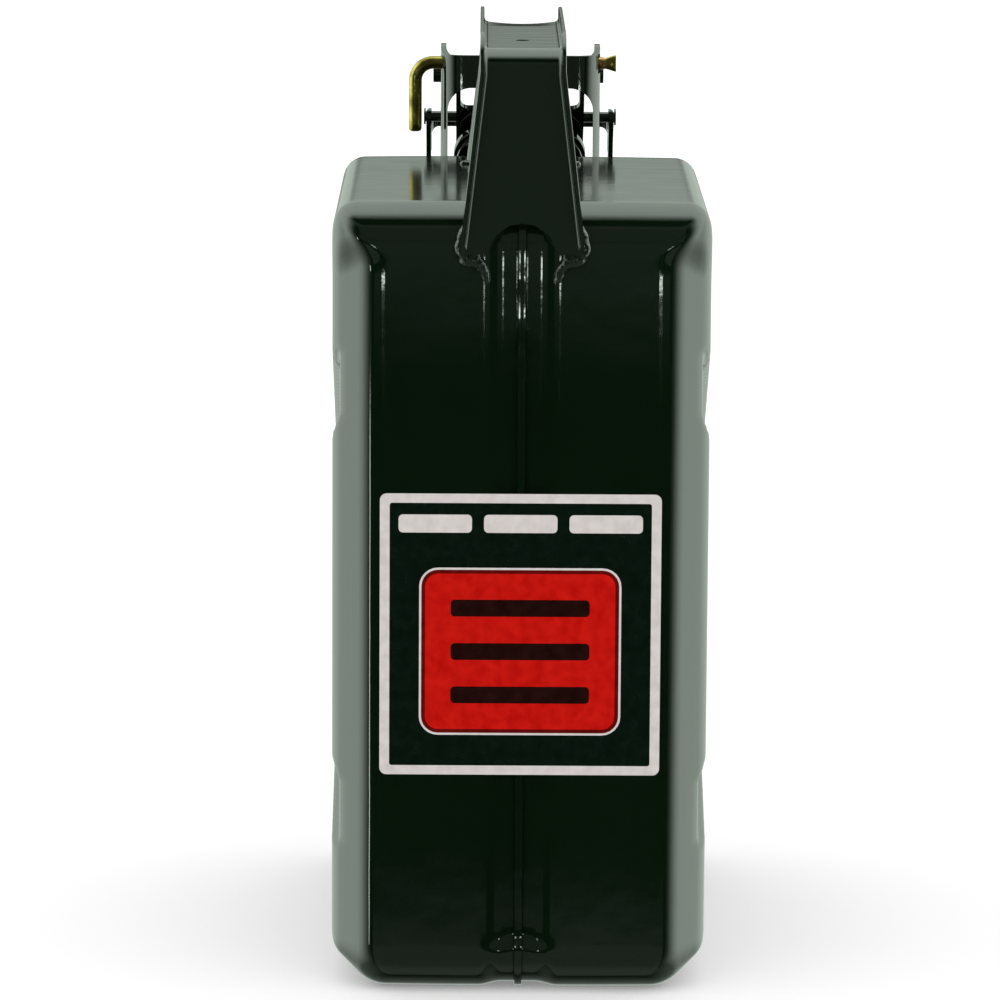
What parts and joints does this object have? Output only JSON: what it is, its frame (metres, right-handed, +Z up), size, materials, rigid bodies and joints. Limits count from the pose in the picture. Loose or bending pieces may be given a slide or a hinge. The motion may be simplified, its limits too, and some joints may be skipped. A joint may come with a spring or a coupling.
{
  "type": "fuel can",
  "caption": "Narrow pressed steel fuel can with a welded seam, channel carrying handle, and a hinged lid held by a cam lever and a sliding pin.",
  "frame": {"origin": "middle of the footprint of the whole can, on the surface that it stands on", "axes": "+Z up, +Y towards the spout, -Y is the narrow rear face under the handle's rear foot, +X to the right seen from behind"},
  "size_m": [0.12, 0.208, 0.3058],
  "materials": {
    "green_enamel": "gloss",
    "rubber": "matte",
    "yellow_zinc": "satin",
    "bare_steel": "satin",
    "label_vinyl": "gloss"
  },
  "bodies": {
    "can": {"shell_left": "green_enamel", "shell_right": "green_enamel", "seam_weld": "green_enamel", "handle": "green_enamel", "handle_rear_welds": "green_enamel", "handle_front_welds": "green_enamel", "neck": "green_enamel", "neck_weld": "green_enamel", "breather_tube": "bare_steel", "closure_bracket": "green_enamel", "bracket_welds": "green_enamel", "hinge_pin": "green_enamel", "hinge_spacers": "green_enamel", "catch_studs": "green_enamel", "label": "label_vinyl"},
    "lid": {"lid": "green_enamel", "lid_gasket": "rubber", "gasket_retainer": "bare_steel", "lid_rivet": "green_enamel", "lid_yoke": "green_enamel", "lever_pin": "green_enamel"},
    "lever": {"cam_lever": "green_enamel"},
    "lock": {"locking_pin": "yellow_zinc"}
  },
  "joints": [
    {"name": "lid_hinge", "type": "hinge", "parent": "can", "child": "lid", "pos_m": [0, 0.066, 0.2795], "axis": [1, 0, 0], "range_deg": [0, 100]},
    {"name": "lever_hinge", "type": "hinge", "parent": "lid", "child": "lever", "pos_m": [0, 0.07121, 0.26455], "axis": [1, 0, 0], "range_deg": [0, 40]},
    {"name": "lock_slide", "type": "slide", "parent": "can", "child": "lock", "axis": [-1, 0, 0], "range_m": [0, 0.05]}
  ]
}
